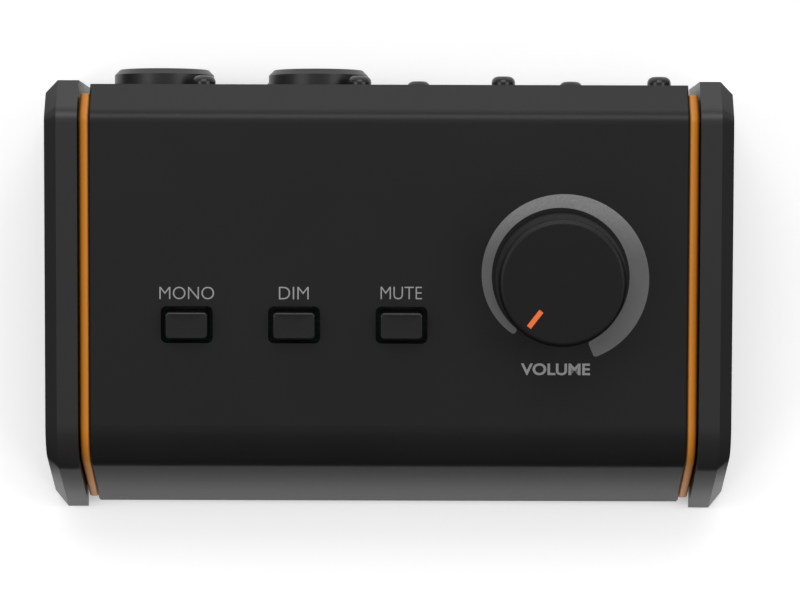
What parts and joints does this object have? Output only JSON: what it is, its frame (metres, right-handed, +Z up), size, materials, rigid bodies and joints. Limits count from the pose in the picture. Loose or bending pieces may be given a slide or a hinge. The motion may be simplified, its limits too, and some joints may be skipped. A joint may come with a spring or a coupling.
{
  "type": "studio monitor controller",
  "caption": "Wedge-shaped desktop controller with a volume knob, push buttons, side cheeks with trim strips and rear panel connectors.",
  "frame": {"origin": "centre of the bounding box on the ground, under the four feet", "axes": "+X to the user's right, +Y to the rear connectors, +Z up"},
  "size_m": [0.154, 0.1002, 0.0574],
  "materials": {
    "case_black": "satin black, fine grained",
    "cheek_black": "satin charcoal",
    "plate_black": "satin black",
    "trim_orange": "satin orange",
    "pointer_orange": "orange red",
    "knob_black": "satin black",
    "button_black": "satin black",
    "foot_rubber": "matt black",
    "connector_black": "satin black",
    "insulator_black": "matt black",
    "pin_nickel": "bright nickel",
    "contact_silver": "bright silver",
    "screw_black": "black zinc",
    "bare_metal": "plain turned",
    "steel": "bright zinc",
    "board_green": "solder mask",
    "part_plastic": "moulded",
    "plunger_white": "natural",
    "ribbon_grey": "flexible"
  },
  "bodies": {
    "case": {"main_housing": "case_black", "left_cheek": "cheek_black", "right_cheek": "cheek_black", "left_trim_strip": "trim_orange", "right_trim_strip": "trim_orange", "base_plate": "plate_black", "rear_panel": "plate_black", "fixing_blocks": "bare_metal", "cheek_screws": "screw_black", "base_screws": "screw_black", "rubber_feet": "foot_rubber", "rear_screws": "screw_black", "pot_body": "bare_metal", "pot_washer": "steel", "pot_nut": "steel", "control_board": "board_green", "board_standoffs": "bare_metal", "board_screws": "steel", "control_header": "part_plastic", "connector_board": "board_green", "connector_header": "part_plastic", "ribbon_cable": "ribbon_grey", "outer_input_socket": "connector_black", "outer_input_contacts": "contact_silver", "inner_input_socket": "connector_black", "inner_input_contacts": "contact_silver", "inner_output_shell": "connector_black", "inner_output_insulator": "insulator_black", "inner_output_pins": "pin_nickel", "outer_output_shell": "connector_black", "outer_output_insulator": "insulator_black", "outer_output_pins": "pin_nickel", "mono_switch": "part_plastic", "dim_switch": "part_plastic", "mute_switch": "part_plastic"},
    "volume_knob": {"knob_cap": "knob_black", "knob_pointer": "pointer_orange", "pot_shaft": "steel", "pot_rotor": "part_plastic"},
    "mono_key": {"mono_button": "button_black", "mono_plunger": "plunger_white"},
    "dim_key": {"dim_button": "button_black", "dim_plunger": "plunger_white"},
    "mute_key": {"mute_button": "button_black", "mute_plunger": "plunger_white"}
  },
  "joints": [
    {"name": "volume_turn", "type": "hinge", "parent": "case", "child": "volume_knob", "pos_m": [0.0384, 0.00297, 0.0416], "axis": [0, 0.0993, -0.9951], "range_deg": [0, 300]},
    {"name": "mono_press", "type": "slide", "parent": "case", "child": "mono_key", "axis": [0, 0.0993, -0.9951], "range_m": [0, 0.0015], "stiffness_N_per_m": 900, "springref_m": -0.001},
    {"name": "dim_press", "type": "slide", "parent": "case", "child": "dim_key", "axis": [0, 0.0993, -0.9951], "range_m": [0, 0.0015], "stiffness_N_per_m": 900, "springref_m": -0.001},
    {"name": "mute_press", "type": "slide", "parent": "case", "child": "mute_key", "axis": [0, 0.0993, -0.9951], "range_m": [0, 0.0015], "stiffness_N_per_m": 900, "springref_m": -0.001}
  ]
}
